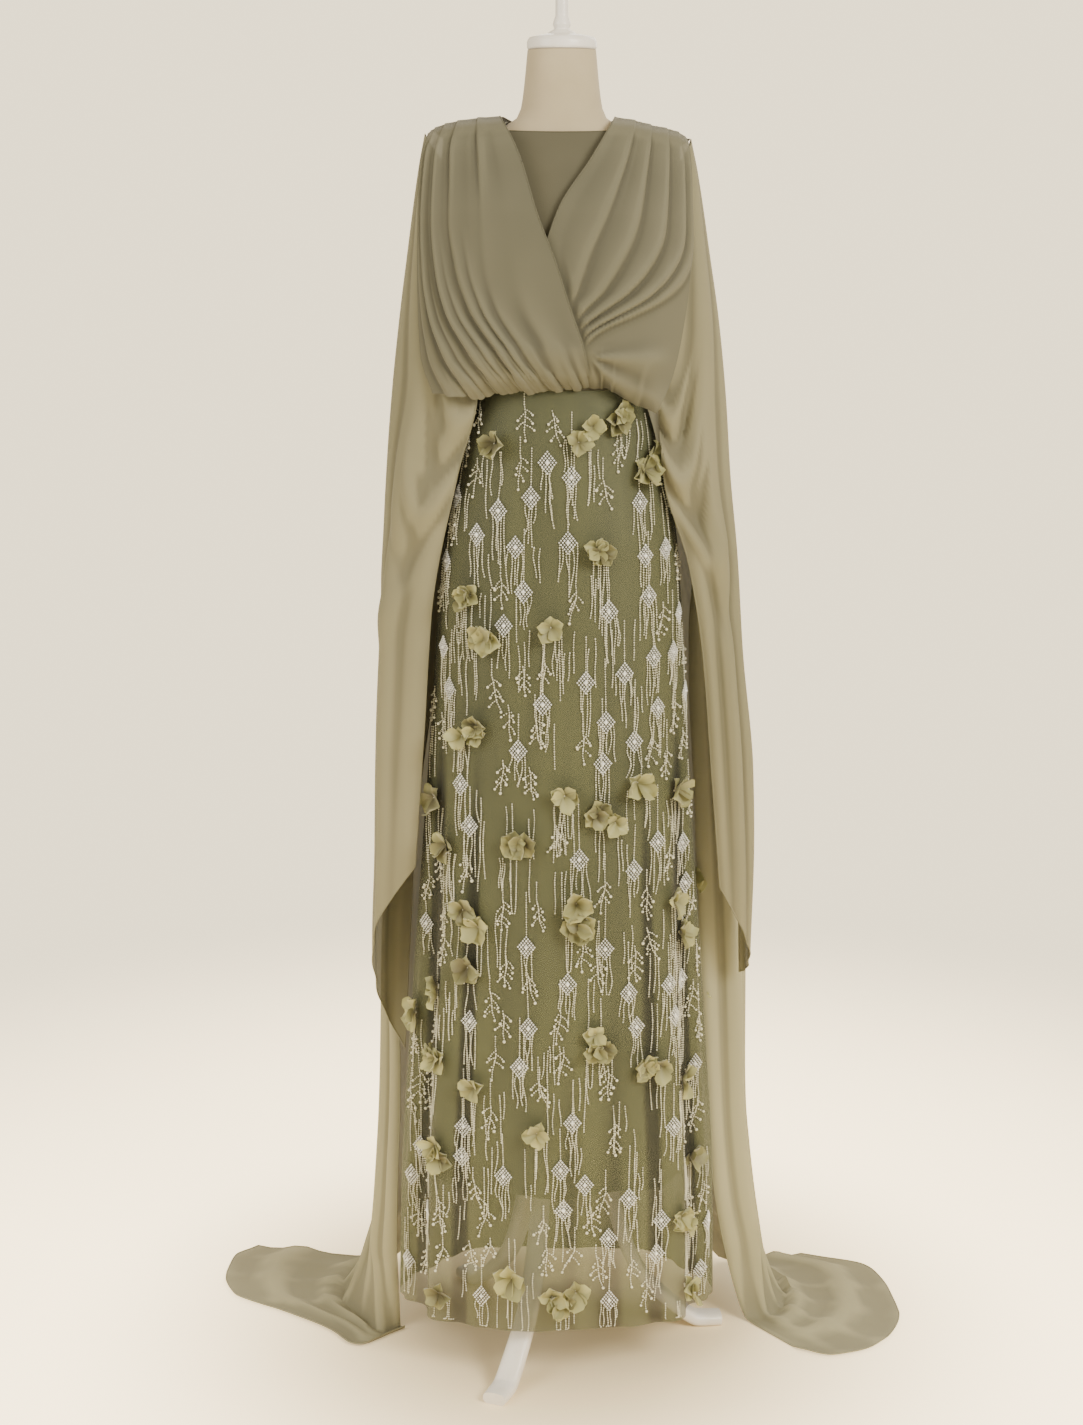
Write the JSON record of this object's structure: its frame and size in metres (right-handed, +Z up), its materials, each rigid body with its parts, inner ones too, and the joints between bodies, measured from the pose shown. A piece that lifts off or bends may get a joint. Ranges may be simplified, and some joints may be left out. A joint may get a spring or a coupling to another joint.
{
  "type": "maxi dress on a dress form",
  "caption": "Floor-length dress with a crossed pleated blouse, cape sleeves, back trains and an embroidered net skirt, worn by a limbless dress form on a tripod stand.",
  "frame": {"origin": "on the floor, under the middle of the whole part; the stand's axis is 30 mm behind it, at x 0, y -0.030", "axes": "+Z up, the front of the dress faces -Y, the wearer's left is at +X"},
  "size_m": [1.04, 0.5245, 1.958],
  "materials": {
    "chiffon": "sheer crinkled chiffon, soft sheen",
    "crepe": "matt crepe",
    "lining_satin": "opaque lining, soft sheen",
    "embroidered_net": "fine net with beads and cloth flowers",
    "form_cloth": "plain woven cover",
    "painted_wood": "off-white satin paint"
  },
  "bodies": {
    "root": {"form_torso": "form_cloth", "neck_cap": "painted_wood", "stand_pole": "painted_wood", "tripod_hub": "painted_wood", "leg_front": "painted_wood", "leg_left": "painted_wood", "leg_rear": "painted_wood", "bodice_front": "crepe", "bodice_back": "crepe", "sleeve_right": "crepe", "sleeve_left": "crepe", "lining_front": "lining_satin", "lining_back": "lining_satin", "net_front": "embroidered_net", "net_back": "embroidered_net", "wrap_right": "chiffon", "wrap_left": "chiffon", "blouse_back_right": "chiffon", "blouse_back_left": "chiffon", "cape_right": "chiffon", "cape_left": "chiffon", "train_right": "chiffon", "train_left": "chiffon"}
  },
  "joints": []
}
